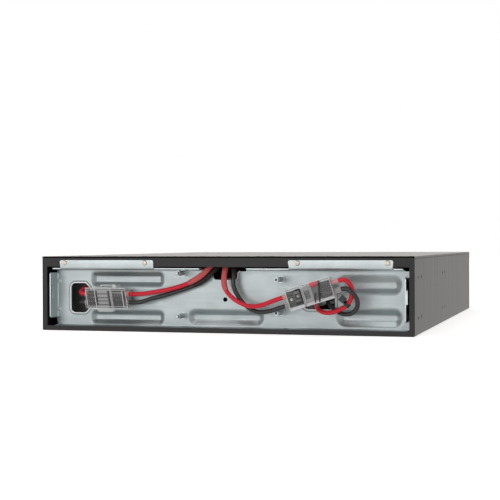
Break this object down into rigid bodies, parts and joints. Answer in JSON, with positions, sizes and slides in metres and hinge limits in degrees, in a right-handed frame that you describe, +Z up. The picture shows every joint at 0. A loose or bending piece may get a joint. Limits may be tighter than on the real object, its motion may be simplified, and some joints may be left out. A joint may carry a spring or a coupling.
{
  "type": "server rack battery",
  "caption": "Low flat rack battery module with its bezel off: black steel case, plated retainer plate, clear plugs on red and black leads, sealed blocks inside.",
  "frame": {"origin": "centre of the case's base", "axes": "+Z up, -Y out of the front where the plugs are, +X to the right seen from the front"},
  "size_m": [0.438, 0.5952, 0.0865],
  "materials": {
    "case_black": "fine-textured semi-gloss black powder coat",
    "zinc_plate": "satin electro-galvanised sheet",
    "zinc_steel": "galvanised",
    "screw_steel": "yellow-passivated zinc",
    "standoff_steel": "turned zinc-plated steel",
    "trim_white": "rolled bright edge",
    "battery_case": "fine-grained ABS",
    "tinned_brass": "tinned",
    "fuse_black": "moulded",
    "foam_grey": "open-cell foam",
    "fitting_black": "moulded",
    "toggle_black": "moulded",
    "loom_braid": "braided polyester",
    "clip_nylon": "moulded nylon",
    "shrink_black": "polyolefin shrink tube",
    "shrink_red": "polyolefin shrink tube",
    "tie_nylon": "moulded nylon",
    "lock_red": "translucent moulded",
    "lead_red": "smooth flexible insulation",
    "lead_black": "smooth flexible insulation",
    "clear_shell": "clear moulded polycarbonate",
    "core_grey": "moulded nylon",
    "collar_clear": "clear wire seal"
  },
  "bodies": {
    "root": {"chassis_tray": "case_black", "front_frame": "case_black", "lid": "case_black", "rear_panel": "case_black", "rack_ear_nuts": "zinc_steel", "case_screws": "screw_steel", "retainer_plate": "zinc_plate", "retainer_screws": "screw_steel", "solid_standoffs": "standoff_steel", "threaded_standoffs": "standoff_steel", "cutout_trims": "trim_white", "left_pack_tray": "zinc_steel", "right_pack_tray": "zinc_steel", "left_battery_blocks": "battery_case", "right_battery_blocks": "battery_case", "battery_terminals": "tinned_brass", "jumper_straps": "tinned_brass", "pack_fuses": "fuse_black", "foam_pads": "foam_grey", "output_receptacles": "fitting_black", "receptacle_pins": "tinned_brass", "breaker_body": "fitting_black", "blanking_plug": "fitting_black", "ground_stud": "zinc_steel", "harness_loom": "loom_braid", "loom_clips": "clip_nylon", "left_harness_red_sleeve": "shrink_red", "left_harness_black_sleeve": "shrink_black", "right_harness_red_sleeve": "shrink_red", "right_harness_black_sleeve": "shrink_black", "cable_tie_strap": "tie_nylon", "cable_tie_head": "tie_nylon", "right_socket_lock": "lock_red", "left_harness_red_lead": "lead_red", "left_harness_black_lead": "lead_black", "left_battery_red_lead": "lead_red", "left_battery_black_lead": "lead_black", "left_socket_shell": "clear_shell", "left_socket_core": "core_grey", "left_socket_collars": "collar_clear", "left_socket_pins": "tinned_brass", "right_harness_red_lead": "lead_red", "right_harness_black_lead": "lead_black", "right_battery_red_lead": "lead_red", "right_battery_black_lead": "lead_black", "right_socket_shell": "clear_shell", "right_socket_core": "core_grey", "right_socket_collars": "collar_clear", "right_socket_pins": "tinned_brass"},
    "left_plug": {"left_plug_shell": "clear_shell", "left_plug_core": "core_grey", "left_plug_collars": "collar_clear", "left_plug_contacts": "tinned_brass"},
    "left_latch": {"left_plug_latch": "clear_shell"},
    "right_plug": {"right_plug_shell": "clear_shell", "right_plug_core": "core_grey", "right_plug_collars": "collar_clear", "right_plug_contacts": "tinned_brass"},
    "right_latch": {"right_plug_latch": "clear_shell"},
    "toggle": {"breaker_toggle": "toggle_black"}
  },
  "joints": [
    {"name": "left_plug_slide", "type": "slide", "parent": "root", "child": "left_plug", "axis": [1, 0, 0], "range_m": [0, 0.014], "deforming": ["left_harness_red_lead", "left_harness_black_lead"]},
    {"name": "left_latch_rock", "type": "hinge", "parent": "left_plug", "child": "left_latch", "pos_m": [-0.1287, -0.273, 0.0529], "axis": [0, 1, 0], "range_deg": [0, 6], "stiffness_Nm_per_rad": 0.05},
    {"name": "right_plug_slide", "type": "slide", "parent": "root", "child": "right_plug", "axis": [-0.9558, 0, -0.294], "range_m": [0, 0.014], "deforming": ["right_harness_red_lead", "right_harness_black_lead"]},
    {"name": "right_latch_press", "type": "hinge", "parent": "right_plug", "child": "right_latch", "pos_m": [0.09205, -0.29995, 0.0411], "axis": [-0.294, 0, 0.9558], "range_deg": [0, 7], "stiffness_Nm_per_rad": 0.05},
    {"name": "breaker_toggle_throw", "type": "hinge", "parent": "root", "child": "toggle", "pos_m": [0.16, 0.279, 0.044], "axis": [1, 0, 0], "range_deg": [-50, 0]}
  ]
}
